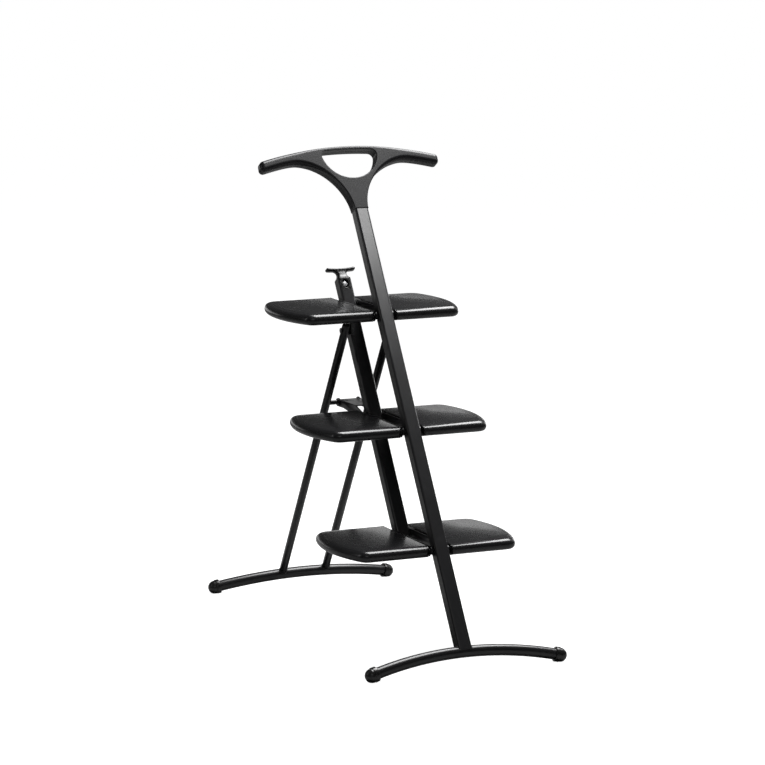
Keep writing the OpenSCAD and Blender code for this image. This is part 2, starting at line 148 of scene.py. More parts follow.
def capSurface(wire, place):
    grain = noise(wire, place, 900, 2)
    cloud = noise(wire, place, 40, 3)
    return {"Base Color": tint(wire, cloud, (0.006, 0.006, 0.006), (0.012, 0.012, 0.012)),
            "Roughness": 0.22 + 0.14 * cloud,
            "Normal": bump(wire, grain, 0.08, 0.0003)}


def rimSurface(wire, place):
    grain = noise(wire, place, 700, 2)
    cloud = noise(wire, place, 18, 3)
    return {"Base Color": tint(wire, cloud, (0.009, 0.009, 0.010), (0.016, 0.016, 0.017)),
            "Roughness": 0.22 + 0.06 * cloud + 0.03 * grain,
            "Normal": bump(wire, grain, 0.02, 0.0001)}


def padSurface(wire, place):
    # a pebbled moulded top: small cells with a finer grain over them
    cells = wire.node("ShaderNodeTexVoronoi", {"feature": "SMOOTH_F1"},
                      {"Vector": place, "Scale": 620, "Smoothness": 0.6, "Randomness": 1.0}, out="Distance")
    grain = noise(wire, place, 2400, 3, 0.6)
    cloud = noise(wire, place, 11, 5, 0.6)
    scuff = wire.node("ShaderNodeValToRGB", {"stops": [(0.52, 0.0), (0.80, 1.0)]},
                      {0: noise(wire, place, 46, 6, 0.75)})
    return {"Base Color": tint(wire, 0.55 * cloud + 0.30 * grain + 0.20 * scuff,
                               (0.013, 0.013, 0.014), (0.027, 0.027, 0.028)),
            "Roughness": 0.96 - 0.10 * cloud - 0.06 * scuff,
            "Normal": bump(wire, (1 - cells) + 0.4 * grain, 0.22, 0.0004)}


def zincSurface(wire, place):
    streak = noise(wire, place, 260, 4, 0.6)
    cloud = noise(wire, place, 60, 3)
    return {"Base Color": tint(wire, cloud, (0.42, 0.43, 0.44), (0.60, 0.60, 0.61)),
            "Roughness": 0.26 + 0.20 * streak,
            "Normal": bump(wire, streak, 0.10, 0.0002)}


def nylonSurface(wire, place):
    cloud = noise(wire, place, 80, 3)
    return {"Base Color": tint(wire, cloud, (0.020, 0.020, 0.021), (0.034, 0.034, 0.035)),
            "Roughness": 0.42 + 0.12 * cloud,
            "Normal": bump(wire, noise(wire, place, 800, 2), 0.08, 0.0003)}


finishes = {
    "steel_paint": makeFinish("blackPaint", {"Coat Weight": 0.1, "Coat Roughness": 0.15}, paintSurface),
    "handle_plastic": makeFinish("satinHandle", {"Specular IOR Level": 0.4}, handleSurface),
    "cap_plastic": makeFinish("glossyCap", {"Coat Weight": 0.2, "Coat Roughness": 0.1}, capSurface),
    "tread_moulding": makeFinish("treadRim", {"Coat Weight": 0.2, "Coat Roughness": 0.1}, rimSurface),
    "bright_steel": makeFinish("zincPlate", {"Metallic": 1.0}, zincSurface),
    "bush_nylon": makeFinish("blackNylon", {"Specular IOR Level": 0.45}, nylonSurface),
}
treadPad = makeFinish("treadPad", {"Specular IOR Level": 0.03}, padSurface)
print("finishes made")


# ---- mesh helpers ----

def addPiece(name, meshData, body, slot, replaced, materials=None):
    piece = bpy.data.objects.new(name, meshData)
    bpy.context.scene.collection.objects.link(piece)
    meshData.materials.clear()
    for material in materials or [finishes[slot]]:
        meshData.materials.append(material)
    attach(piece, body)
    if replaced:
        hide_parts(*replaced)
    return piece


def meshFrom(bm, name, sharpAngle=35):
    bmesh.ops.recalc_face_normals(bm, faces=bm.faces)
    meshData = bpy.data.meshes.new(name)
    bm.to_mesh(meshData)
    bm.free()
    for face in meshData.polygons:
        face.use_smooth = True
    meshData.set_sharp_from_angle(angle=math.radians(sharpAngle))
    return meshData


def withModifiers(meshData, settings, sharpAngle=35):
    # settings: (modifier kind, its values) in order; the result is a plain mesh
    holder = bpy.data.objects.new("work", meshData)
    bpy.context.scene.collection.objects.link(holder)
    for kind, values in settings:
        modifier = holder.modifiers.new(kind, kind)
        for key, value in values.items():
            setattr(modifier, key, value)
    result = bpy.data.meshes.new_from_object(holder.evaluated_get(bpy.context.evaluated_depsgraph_get()))
    bpy.data.objects.remove(holder)
    for face in result.polygons:
        face.use_smooth = True
    result.set_sharp_from_angle(angle=math.radians(sharpAngle))
    return result


def cadCopy(node):
    bm = bmesh.new()
    bm.from_mesh(frame["nodes"][node].data)
    bmesh.ops.remove_doubles(bm, verts=bm.verts, dist=0.00001)
    bmesh.ops.dissolve_degenerate(bm, dist=0.00001, edges=bm.edges)
    bmesh.ops.dissolve_limit(bm, angle_limit=math.radians(0.6), verts=bm.verts, edges=bm.edges)
    return bm


def softened(node, width, segments=3):
    # a CAD solid with its edges broken by a small round
    return withModifiers(meshFrom(cadCopy(node), node + ".copy"),
                         [("BEVEL", {"width": width, "segments": segments, "limit_method": "ANGLE",
                                     "angle_limit": math.radians(32), "use_clamp_overlap": True,
                                     "harden_normals": False, "miter_outer": "MITER_ARC"}),
                          ("WEIGHTED_NORMAL", {"keep_sharp": True, "weight": 60})])


def islands(node):
    # centre, lowest and highest corner of each solid in a node
    bm = bmesh.new()
    bm.from_mesh(frame["nodes"][node].data)
    bmesh.ops.remove_doubles(bm, verts=bm.verts, dist=0.00001)
    left = set(bm.verts)
    found = []
    while left:
        group = [left.pop()]
        for vert in group:
            for edge in vert.link_edges:
                other = edge.other_vert(vert)
                if other in left:
                    left.remove(other)
                    group.append(other)
        low = Vector(map(min, zip(*(v.co for v in group))))
        high = Vector(map(max, zip(*(v.co for v in group))))
        found.append(((low + high) / 2, low, high))
    bm.free()
    return sorted(found, key=lambda item: tuple(round(v, 4) for v in item[0]))


def span(node, direction):
    reach = [v.co.dot(direction) for v in frame["nodes"][node].data.vertices]
    return min(reach), max(reach)


def arc(centre, radius, start, end, steps):
    return [(centre[0] + radius * math.cos(math.radians(start + (end - start) * k / steps)),
             centre[1] + radius * math.sin(math.radians(start + (end - start) * k / steps)))
            for k in range(steps + 1)]


def loft(bm, rings):
    # quads between rings of the same length
    made = [[bm.verts.new(point) for point in ring] for ring in rings]
    for lower, upper in zip(made, made[1:]):
        for k in range(len(lower)):
            n = (k + 1) % len(lower)
            bm.faces.new((lower[k], lower[n], upper[n], upper[k]))
    return made


def closedLoft(rings):
    bm = bmesh.new()
    made = loft(bm, rings)
    bm.faces.new(made[0])
    bm.faces.new(made[-1])
    return bm


def spun(profile, steps=40):
    # a closed body of revolution about z from (radius, z) pairs; both ends lie on the axis
    bm = bmesh.new()
    turns = [2 * math.pi * k / steps for k in range(steps)]
    rings = [[(r * math.cos(a), r * math.sin(a), z) for a in turns] for r, z in profile[1:-1]]
    made = loft(bm, rings)
    for ring, (radius, z) in ((made[0], profile[0]), (made[-1], profile[-1])):
        pole = bm.verts.new((0, 0, z))
        for k in range(steps):
            bm.faces.new((ring[k], ring[(k + 1) % steps], pole))
    return bm


def placed(x, y, z, origin):
    turn = Matrix((x, y, z)).transposed().to_4x4()
    turn.translation = origin
    return turn


# ---- geometry node helpers ----

def newTree(name, inputs):
    tree = bpy.data.node_groups.new(name, "GeometryNodeTree")
    kinds = {float: "NodeSocketFloat", int: "NodeSocketInt"}
    tree.interface.new_socket("Geometry", in_out="INPUT", socket_type="NodeSocketGeometry")
    for label, value in inputs.items():
        if isinstance(value, (float, int)):
            socket = tree.interface.new_socket(label, in_out="INPUT", socket_type=kinds[type(value)])
            socket.default_value = value
        else:
            kind = "NodeSocketObject" if value == "object" else "NodeSocketMaterial"
            tree.interface.new_socket(label, in_out="INPUT", socket_type=kind)
    tree.interface.new_socket("Geometry", in_out="OUTPUT", socket_type="NodeSocketGeometry")
    entry = tree.nodes.new("NodeGroupInput")
    return tree, {socket.name: Wire(tree, socket) for socket in entry.outputs if socket.name}


def closeTree(tree, geometry, material):
    whole = geometry.node("GeometryNodeRealizeInstances", None, {0: geometry})
    done = whole.node("GeometryNodeSetMaterial", None, {"Geometry": whole, "Material": material})
    tree.links.new(done.socket, tree.nodes.new("NodeGroupOutput").inputs[0])


def runTree(tree, meshData, values):
    holder = bpy.data.objects.new("grow", meshData)
    bpy.context.scene.collection.objects.link(holder)
    modifier = holder.modifiers.new("grow", "NODES")
    modifier.node_group = tree
    for socket in tree.interface.items_tree:
        if socket.in_out == "INPUT" and socket.name in values:
            modifier[socket.identifier] = values[socket.name]
    result = bpy.data.meshes.new_from_object(holder.evaluated_get(bpy.context.evaluated_depsgraph_get()))
    bpy.data.objects.remove(holder)
    return result


def pathMesh(points, edges=None):
    meshData = bpy.data.meshes.new("path")
    meshData.from_pydata([tuple(p) for p in points], edges or [], [])
    return meshData


def buildArchTree():
    # a round bar swept along an arc that is symmetric about +Y
    tree, sockets = newTree("archBar", {"Arc Radius": 0.8, "Half Angle": 0.27, "Bar Radius": 0.0125,
                                        "Arc Steps": 96, "Bar Steps": 40, "Finish": "material"})
    start = math.pi / 2 - sockets["Half Angle"]
    path = start.node("GeometryNodeCurveArc", {"mode": "RADIUS"},
                      {"Resolution": sockets["Arc Steps"], "Radius": sockets["Arc Radius"],
                       "Start Angle": start, "Sweep Angle": 2 * sockets["Half Angle"]})
    section = path.node("GeometryNodeCurvePrimitiveCircle", {"mode": "RADIUS"},
                        {"Resolution": sockets["Bar Steps"], "Radius": sockets["Bar Radius"]})
    bar = path.node("GeometryNodeCurveToMesh", None,
                    {"Curve": path, "Profile Curve": section, "Fill Caps": True})
    closeTree(tree, bar, sockets["Finish"])
    return tree


def buildRibTree():
    # upright flat ribs along the edges that come in
    tree, sockets = newTree("ribLattice", {"Rib Thickness": 0.002, "Rib Height": 0.018, "Finish": "material"})
    lines = sockets["Geometry"].node("GeometryNodeMeshToCurve", None, {"Mesh": sockets["Geometry"]})
    upright = lines.node("GeometryNodeSetCurveNormal", {"mode": "Z_UP"}, {"Curve": lines})
    section = upright.node("GeometryNodeCurvePrimitiveQuadrilateral", {"mode": "RECTANGLE"},
                           {"Width": sockets["Rib Thickness"], "Height": sockets["Rib Height"]})
    ribs = upright.node("GeometryNodeCurveToMesh", None,
                        {"Curve": upright, "Profile Curve": section, "Fill Caps": True})
    closeTree(tree, ribs, sockets["Finish"])
    return tree


def buildStudTree():
    # the same small object on every point that comes in
    tree, sockets = newTree("studPattern", {"Stud": "object", "Finish": "material"})
    stud = sockets["Geometry"].node("GeometryNodeObjectInfo", {"transform_space": "ORIGINAL"},
                                    {"Object": sockets["Stud"]}, out="Geometry")
    points = stud.node("GeometryNodeMeshToPoints", None, {"Mesh": sockets["Geometry"]})
    copies = stud.node("GeometryNodeInstanceOnPoints", None, {"Points": points, "Instance": stud})
    closeTree(tree, copies, sockets["Finish"])
    return tree


def buildWeldTree():
    # overlapping ripples along a closed path
    tree, sockets = newTree("weldBead", {"Ripples": 40, "Bead Radius": 0.0016, "Finish": "material"})
    path = sockets["Geometry"].node("GeometryNodeMeshToCurve", None, {"Mesh": sockets["Geometry"]})
    even = path.node("GeometryNodeResampleCurve", None, {"Curve": path, "Count": sockets["Ripples"]})
    ripple = even.node("GeometryNodeMeshIcoSphere", None,
                       {"Radius": sockets["Bead Radius"], "Subdivisions": 2})
    size = even.node("FunctionNodeRandomValue", {"data_type": "FLOAT"},
                     {2: 0.85, 3: 1.15, "Seed": 4}, out=1)
    beads = even.node("GeometryNodeInstanceOnPoints", None,
                      {"Points": even, "Instance": ripple, "Scale": size})
    closeTree(tree, beads, sockets["Finish"])
    return tree


archTree = buildArchTree()
ribTree = buildRibTree()
studTree = buildStudTree()
weldTree = buildWeldTree()
print("node trees made")


# ---- directions of the rails and legs, from the record and the CAD solids ----

standing = {"footHeight": 14 * mm}
railDir = (hinges["tread_3_fold"] - hinges["tread_1_fold"]).normalized()
railFront = acrossDir.cross(railDir)
railTop = span("front_rail", railDir)[1]
railMiddle = sum(span("front_rail", railFront)) / 2
railEnd = railDir * railTop + railFront * railMiddle
footLift = (railEnd.z - standing["footHeight"]) / railDir.z
frontFoot = railEnd - railDir * footLift
legHinge = hinges["rear_leg_fold"]
rearFoot = Vector((0, -frontFoot.y, standing["footHeight"]))
legDir = (Vector((0, legHinge.y, legHinge.z)) - rearFoot).normalized()
legFront = acrossDir.cross(legDir)


# ---- feet ----

footSizes = {"halfWidth": 220 * mm, "frontRise": 30 * mm, "rearRise": 24 * mm, "tubeRadius": 12.5 * mm}
# in millimetres; heights run outwards along the tube from the dome's centre
capSizes = {"dome": 15.5, "bore": 12.62, "boreFloor": -11.4, "back": -12.0, "collarRound": 1.2,
            "collarBack": (15.2, -10.8), "collarFront": (15.4, -3.2), "groove": [(15.45, -1.9), (15.1, -1.8)]}


def archRadius(rise):
    half = footSizes["halfWidth"]
    return (half * half + rise * rise) / (2 * rise)


def makeFoot(name, cadNode, rise, origin, upDir, faceDir, body):
    half = footSizes["halfWidth"]
    radius = archRadius(rise)
    meshData = runTree(archTree, pathMesh([]),
                       {"Arc Radius": radius, "Half Angle": math.asin(half / radius),
                        "Bar Radius": footSizes["tubeRadius"], "Arc Steps": 97, "Bar Steps": 40,
                        "Finish": finishes["steel_paint"]})
    meshData.transform(placed(acrossDir, upDir, faceDir, origin + upDir * (rise - radius)))
    for face in meshData.polygons:
        face.use_smooth = True
    meshData.set_sharp_from_angle(angle=math.radians(50))
    addPiece(name, meshData, body, "steel_paint", [cadNode])


def capProfile():
    # (radius, height) from the bore's floor round the collar and the groove to the dome
    s = capSizes
    back = [(0, s["boreFloor"]), (s["bore"], s["boreFloor"]), (s["bore"], s["back"]),
            (s["collarBack"][0], s["back"])]
    collar = arc(s["collarBack"], s["collarRound"], -90, 0, 4)
    collar += arc(s["collarFront"], s["collarRound"], 0, 78, 5)
    dome = [(s["dome"] * math.cos(math.radians(a)), s["dome"] * math.sin(math.radians(a)))
            for a in range(-6, 90, 6)]
    return [(r * mm, z * mm) for r, z in back + collar + s["groove"] + dome + [(0, s["dome"])]]


def makeCap(name, cadNode, side, rise, origin, upDir, faceDir, body):
    half = footSizes["halfWidth"]
    slope = math.asin(half / archRadius(rise))
    out = (acrossDir * side * math.cos(slope) - upDir * math.sin(slope)).normalized()
    bm = spun(capProfile(), 48)
    bm.transform(placed(faceDir.cross(out) * -1, faceDir * -1, out, origin + acrossDir * side * half))
    for vert in bm.verts:
        vert.co.z = max(vert.co.z, 0.0)
    addPiece(name, meshFrom(bm, name, 40), body, "cap_plastic", [cadNode])


frontArch = (footSizes["frontRise"], frontFoot, railDir, railFront)
rearArch = (footSizes["rearRise"], rearFoot, legDir, legFront)
makeFoot("frontFoot", "front_foot_tube", *frontArch, "front_frame")
makeFoot("rearFoot", "rear_foot_tube", *rearArch, "rear_legs")
for side, word in ((-1, "left"), (1, "right")):
    makeCap("frontCap." + word, "front_foot_cap_" + word, side, *frontArch, "front_frame")
    makeCap("rearCap." + word, "rear_foot_cap_" + word, side, *rearArch, "rear_legs")
print("feet made")


# ---- weld beads where the tubes meet ----

# railWide and railDeep are the size of the bead's path around the rail, legRound that around a leg
weldSizes = {"beadRadius": 1.5 * mm, "railWide": 33 * mm, "railDeep": 23 * mm, "railCorner": 4 * mm,
             "legRound": 9.3 * mm, "railRipples": 64, "legRipples": 40}


def saddlePath(outline, rise, origin, upDir, faceDir):
    # outline in (x, depth), laid on the top of the arched tube
    radius = archRadius(rise)
    points = []
    for x, depth in outline:
        lift = rise - radius + math.sqrt(radius * radius - x * x)
        rest = math.sqrt(max(footSizes["tubeRadius"] ** 2 - depth * depth, 0))
        points.append(origin + acrossDir * x + faceDir * depth + upDir * (lift + rest))
    return points


def makeWeld(name, paths, ripples, body):
    points = [p for path in paths for p in path]
    edges, first = [], 0
    for path in paths:
        edges += [(first + k, first + (k + 1) % len(path)) for k in range(len(path))]
        first += len(path)
    meshData = runTree(weldTree, pathMesh(points, edges),
                       {"Ripples": ripples, "Bead Radius": weldSizes["beadRadius"],
                        "Finish": finishes["steel_paint"]})
    for face in meshData.polygons:
        face.use_smooth = True
    addPiece(name, meshData, body, "steel_paint", [])


def roundedBox(width, depth, corner, steps=4):
    x, y = width / 2 - corner, depth / 2 - corner
    return (arc((x, y), corner, 0, 90, steps) + arc((-x, y), corner, 90, 180, steps)
            + arc((-x, -y), corner, 180, 270, steps) + arc((x, -y), corner, 270, 360, steps))


legOffset = islands("rear_leg_right")[0][0].x
railPath = roundedBox(weldSizes["railWide"], weldSizes["railDeep"], weldSizes["railCorner"])
legPaths = [arc((side * legOffset, 0), weldSizes["legRound"], 0, 345, 23) for side in (-1, 1)]
makeWeld("railWeld", [saddlePath(railPath, *frontArch)], weldSizes["railRipples"], "front_frame")
makeWeld("legWelds", [saddlePath(path, *rearArch) for path in legPaths], weldSizes["legRipples"], "rear_legs")
print("welds made")


# ---- treads ----

# in millimetres; depth runs back from the front edge, heights are about the top
treadSizes = {"slot": 52.0, "width": 418.0, "depth": 251.0, "thickness": 24.5,
              "sideRadius": 300.0, "widestAt": 0.53,
              "slotCorner": 8.0, "frontCorner": 25.0, "rearCorner": 35.0,
              "topInset": 14.0, "topRound": 12.5, "bottomRound": 10.0,
              "slotRound": 1.8, "slotBottomRound": 1.5, "skirt": 11.0, "slotSkirt": 3.0,
              "deck": 3.5, "armFrom": 13.5, "armTo": 180.5, "armStep": 0.4, "armRoom": 3.1,
              "ribThickness": 2.4, "ribEvery": (36.0, 49.0), "ribClear": (12.0, 20.0), "sink": 0.5,
              "lipDip": 0.25, "padGroove": [(0.25, -0.55), (0.8, -0.55), (1.05, -0.12), (1.5, 0.0)],
              "edgeBreak": 0.6, "flat": 0.5,
              "boss": [(0, -18.0), (3.9, -18.0), (4.3, -17.6), (4.6, 0.5), (0, 0.5)]}


def treadOutline(inset, slotInset):
    # one half seen from above; the last value of each point says how far it belongs to the slot side
    s = treadSizes
    corner = max(s["slotCorner"] - inset, s["flat"])
    side = s["slot"] / 2 + slotInset
    bigX, bigY = s["width"] / 2 - s["sideRadius"], s["depth"] * s["widestAt"]
    rearY = s["depth"] - s["rearCorner"]
    frontX = bigX + math.sqrt((s["sideRadius"] - s["frontCorner"]) ** 2 - (bigY - s["frontCorner"]) ** 2)
    rearX = bigX + math.sqrt((s["sideRadius"] - s["rearCorner"]) ** 2 - (rearY - bigY) ** 2)
    frontTurn = math.degrees(math.atan2(s["frontCorner"] - bigY, frontX - bigX))
    rearTurn = math.degrees(math.atan2(rearY - bigY, rearX - bigX))
    front = arc((side + corner, inset + corner), corner, 180, 270, 6)
    points = [(*p, 1 - k / 6) for k, p in enumerate(front)]
    outer = arc((frontX, s["frontCorner"]), s["frontCorner"] - inset, 270, 360 + frontTurn, 12)
    outer += arc((bigX, bigY), s["sideRadius"] - inset, frontTurn, rearTurn, 28)[1:-1]
    outer += arc((rearX, rearY), s["rearCorner"] - inset, rearTurn, 90, 12)
    points += [(*p, 0.0) for p in outer]
    back = s["depth"] - inset - corner
    points += [(*p, k / 6) for k, p in enumerate(arc((side + corner, back), corner, 90, 180, 6))]
    points += [(side, y, 1.0) for y in (s["armTo"] + s["armStep"], s["armTo"],
                                        s["armFrom"], s["armFrom"] - s["armStep"])]
    return points


def treadProfile():
    # ((inset, height) at the outer edge, the same at the slot), from the deck's underside round to the pad
    s = treadSizes
    low, deep = -s["thickness"], s["bottomRound"]
    rows = [((s["skirt"], -s["deck"]), (s["slotSkirt"], -s["deck"])),
            ((s["skirt"], low + s["edgeBreak"]), (s["slotSkirt"], low + s["edgeBreak"])),
            ((deep + s["flat"], low), (s["slotSkirt"] - s["edgeBreak"], low))]
    small, large, slight = s["slotBottomRound"], s["topRound"], s["slotRound"]
    for step in range(7):
        turn = math.pi / 2 * step / 6
        rows.append(((deep * (1 - math.sin(turn)), low + deep * (1 - math.cos(turn))),
                     (small * (1 - math.sin(turn)), low + small * (1 - math.cos(turn)))))
    for step in range(9):
        turn = math.pi / 2 * step / 8
        away, dip = 1 - math.cos(turn), s["lipDip"] * math.sin(turn)
        rows.append(((s["topInset"] * away, -large * (1 - math.sin(turn)) - dip),
                     (slight * away, -slight * (1 - math.sin(turn)) - dip)))
    for step, height in s["padGroove"]:
        rows.append(((s["topInset"] + step, height), (slight + step, height)))
    return rows


def crossings(outline, axis, value):
    hits = []
    for a, b in zip(outline, outline[1:] + outline[:1]):
        if (a[axis] - value) * (b[axis] - value) < 0:
            share = (value - a[axis]) / (b[axis] - a[axis])
            hits.append(a[1 - axis] + share * (b[1 - axis] - a[1 - axis]))
    return min(hits), max(hits)


def ribLines():
    # pairs of ends, each a little inside the skirt
    s = treadSizes
    outline = treadOutline(s["skirt"] - s["sink"], s["slotSkirt"] - s["sink"])
    height = -(s["deck"] + s["thickness"] - s["armRoom"]) / 2
    halfRib = s["ribThickness"] / 2
    points = []
    stepX, stepY = s["ribEvery"]
    clearX, clearY = s["ribClear"]
    x = s["slot"] / 2 + stepX
    while x < s["width"] / 2 - clearX:
        low, high = crossings(outline, 0, x + halfRib)
        points += [(x + halfRib, low, height), (x + halfRib, high, height)]
        x += stepX
    y = stepY
    while y < s["depth"] - clearY:
        low, high = crossings(outline, 1, y + halfRib)
        points += [(low, y + halfRib, height), (high, y + halfRib, height)]
        y += stepY
    return points


def bossStud():
    # a screw boss about the deck's underside, from its (radius, height) pairs
    meshData = meshFrom(spun(treadSizes["boss"], 14), "boss")
    stud = bpy.data.objects.new("boss", meshData)
    bpy.context.scene.collection.objects.link(stud)
    return stud


def treadHalf(bossPlaces):
    # the right half in millimetres about its own front edge and top
    s = treadSizes
    bm = bmesh.new()
    rings = []
    for (inset, height), (slotInset, slotHeight) in treadProfile():
        ring = []
        for x, y, share in treadOutline(inset, slotInset):
            z = height * (1 - share) + slotHeight * share
            if share == 1.0 and s["armFrom"] - 0.01 <= y <= s["armTo"] + 0.01:
                z = max(z, s["armRoom"] - s["thickness"])
            ring.append((x, y, z))
        rings.append(ring)
    made = loft(bm, rings)
    bm.faces.new(made[0])
    bm.faces.new(made[-1])
    padVerts = set(made[-1] + made[-2])
    for face in bm.faces:
        face.material_index = int(padVerts.issuperset(face.verts))
    shell = meshFrom(bm, "treadShell", 40)
    lines = ribLines()
    ribs = runTree(ribTree, pathMesh(lines, [(k, k + 1) for k in range(0, len(lines), 2)]),
                   {"Rib Thickness": s["ribThickness"],
                    "Rib Height": s["thickness"] - s["armRoom"] - s["deck"] + 0.4,
                    "Finish": finishes["tread_moulding"]})
    stud = bossStud()
    bosses = runTree(studTree, pathMesh([(x, y, -s["deck"]) for x, y in bossPlaces]),
                     {"Stud": stud, "Finish": finishes["tread_moulding"]})
    bpy.data.objects.remove(stud)
    whole = bmesh.new()
    for meshData in (shell, ribs, bosses):
        whole.from_mesh(meshData)
    return whole


def screwStud(radius, height):
    # a pan head with a cross recess, its top towards +z
    bm = bmesh.new()
    steps = 32
    turns = [2 * math.pi * k / steps for k in range(steps)]
    profile = [(0.5, -4 * mm), (0.5, 0), (1.0, 0), (1.0, height * 0.45),
               (0.95, height * 0.75), (0.82, height * 0.95), (0.7, height)]
    made = loft(bm, [[(radius * r * math.cos(a), radius * r * math.sin(a), z) for a in turns]
                     for r, z in profile])
    bm.faces.new(made[0])
    arm, thin = radius * 0.52, radius * 0.13
    corners = [(thin, thin), (arm, thin), (arm, -thin), (thin, -thin), (thin, -arm), (-thin, -arm),
               (-thin, -thin), (-arm, -thin), (-arm, thin), (-thin, thin), (-thin, arm), (thin, arm)]
    top = [bm.verts.new((x, y, height)) for x, y in corners]
    floor = [bm.verts.new((x * 0.8, y * 0.8, height * 0.35)) for x, y in corners]
    edges = []
    for k in range(12):
        n = (k + 1) % 12
        bm.faces.new((top[k], top[n], floor[n], floor[k]))
        edges.append(bm.edges.get((top[k], top[n])))
    bm.faces.new(floor)
    rim = made[-1]
    edges += [bm.edges.get((rim[k], rim[(k + 1) % steps])) for k in range(steps)]
    bmesh.ops.triangle_fill(bm, use_beauty=True, use_dissolve=False, edges=edges)
    stud = bpy.data.objects.new("screw", meshFrom(bm, "screw", 30))
    bpy.context.scene.collection.objects.link(stud)
    return stud


screwSizes = {"treadRadius": 4 * mm, "treadHead": 1.8 * mm, "handleRadius": 3.5 * mm, "handleHead": 2 * mm}
for level in (1, 2, 3):
    low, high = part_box(f"tread_{level}_right")
    front, top = low.y, high.z
    body = f"tread_{level}"
    heads = islands(f"tread_{level}_screws")
    places = sorted({(round(c.x / mm, 2), round((c.y - front) / mm, 2)) for c, _, _ in heads if c.x > 0})
    for side, word in ((1, "right"), (-1, "left")):
        bm = treadHalf(places)
        bm.transform(Matrix.Translation((0, front, top)) @ Matrix.Diagonal((side * mm, mm, mm, 1)))
        if side < 0:
            bmesh.ops.reverse_faces(bm, faces=bm.faces)
        name = f"tread{level}.{word}"
        meshData = bpy.data.meshes.new(name)
        bm.to_mesh(meshData)
        bm.free()
        meshData.set_sharp_from_angle(angle=math.radians(40))
        addPiece(name, meshData, body, "tread_moulding", [f"tread_{level}_{word}"],
                 [finishes["tread_moulding"], treadPad])
    stud = screwStud(screwSizes["treadRadius"], screwSizes["treadHead"])
    stud.data.transform(Matrix.Rotation(math.pi, 4, "X"))
    headHeight = min(lowest.z for _, lowest, _ in heads) + screwSizes["treadHead"]
    meshData = runTree(studTree, pathMesh([(c.x, c.y, headHeight) for c, _, _ in heads]),
                       {"Stud": stud, "Finish": finishes["bright_steel"]})
    bpy.data.objects.remove(stud)
    addPiece(f"tread{level}.screws", meshData, body, "bright_steel", [f"tread_{level}_screws"])
    print("tread", level, "made")


# ---- tee handle ----

# in millimetres; heights run along the rail from its end
handleSizes = {"width": 432.0, "height": 155.0, "thickness": 28.0, "barHeight": 25.5, "barRadius": 820.0,
               "neckRadius": 123.6, "neckHalf": 16.0, "neckDrop": 6.0, "endRound": 9.5,
               "holeRadius": 67.5, "holeHeight": 143.8, "holeRim": 8.5, "holeCorner": 12.0,
               "partingGap": 0.35, "flareLead": 0.3, "blendFrom": 100, "blendTo": 172, "blendBelow": 124,
               "topBand": 12.0, "tipFrom": 214.0, "holeLower": (130, 2.2, 1.6), "rearShare": 0.7}
# (distance from the middle, radius of the round) along the underside and along the top
handleRounds = {
    "under": [(0, 2.0), (30, 2.2), (46, 3.4), (66, 6.0), (98, 9.6), (124, 11.0), (205, 10.5), (216, 9.0)],
    "over": [(0, 4.6), (60, 4.8), (96, 6.5), (130, 8.5), (205, 9.5), (216, 9.0)],
}


def handleContour():
    # right half from the neck's foot along the underside, round the end and back along the top
    s = handleSizes
    centre = s["height"] - s["barRadius"]
    lowRadius = s["barRadius"] - s["barHeight"]
    neckX = s["neckHalf"] + s["neckRadius"]
    start = 180 - math.degrees(math.asin(s["neckDrop"] / s["neckRadius"]))
    points = arc((neckX, -s["neckDrop"]), s["neckRadius"], start, 92, 46)
    edge = s["width"] / 2 - s["endRound"]
    upper = centre + math.sqrt((s["barRadius"] - s["endRound"]) ** 2 - edge ** 2)
    lower = centre + math.sqrt((lowRadius + s["endRound"]) ** 2 - edge ** 2)
    tipLow = math.degrees(math.atan2(lower - centre, edge))
    flare = math.degrees(math.acos(neckX / lowRadius)) - s["flareLead"]
    for k in range(1, 12):
        angle = flare + (tipLow - flare) * k / 12
        points.append((lowRadius * math.cos(math.radians(angle)),
                       centre + lowRadius * math.sin(math.radians(angle))))
    points += arc((edge, lower), s["endRound"], tipLow - 180, 0, 9)
    tipHigh = math.degrees(math.atan2(upper - centre, edge))
    points += arc((edge, upper), s["endRound"], 0, tipHigh, 9)
    points += arc((0, centre), s["barRadius"], tipHigh, 90, 44)[1:]
    # even out the two places where the arcs only nearly meet
    for _ in range(6):
        points = [points[0]] + [((a[0] + 2 * b[0] + c[0]) / 4, (a[1] + 2 * b[1] + c[1]) / 4)
                                if s["blendFrom"] < b[0] < s["blendTo"] and b[1] < s["blendBelow"] else b
                                for a, b, c in zip(points, points[1:], points[2:])] + [points[-1]]
    return points + [(-x, y) for x, y in reversed(points[:-1])]


def holeContour():
    s = handleSizes
    centre = s["height"] - s["barRadius"]
    big, small, corner = s["barRadius"] - s["holeRim"], s["holeRadius"], s["holeCorner"]
    gap = s["holeHeight"] - centre
    # the corner circle touches both arcs from inside
    reachBig, reachSmall = big - corner, small - corner
    y = (reachBig ** 2 - reachSmall ** 2 + gap ** 2) / (2 * gap)
    x = math.sqrt(reachBig ** 2 - y ** 2)
    corners = (x, centre + y)
    turnLow = math.degrees(math.atan2(corners[1] - s["holeHeight"], corners[0]))
    turnHigh = math.degrees(math.atan2(corners[1] - centre, corners[0]))
    right = arc((0, s["holeHeight"]), small, -90, turnLow, 30)
    right += arc(corners, corner, turnLow, turnHigh, 9)[1:]
    right += arc((0, centre), big, turnHigh, 90, 16)[1:]
    return right + [(-px, py) for px, py in reversed(right[1:-1])]


def between(value, table):
    for (x0, y0), (x1, y1) in zip(table, table[1:]):
        if value <= x1:
            return y0 + (y1 - y0) * max(value - x0, 0) / (x1 - x0)
    return table[-1][1]


def evened(rounds):
    return [sum(rounds[k - j] for j in range(-2, 3)) / 5 if len(rounds) > k + 2 else rounds[k]
            for k in range(len(rounds))]


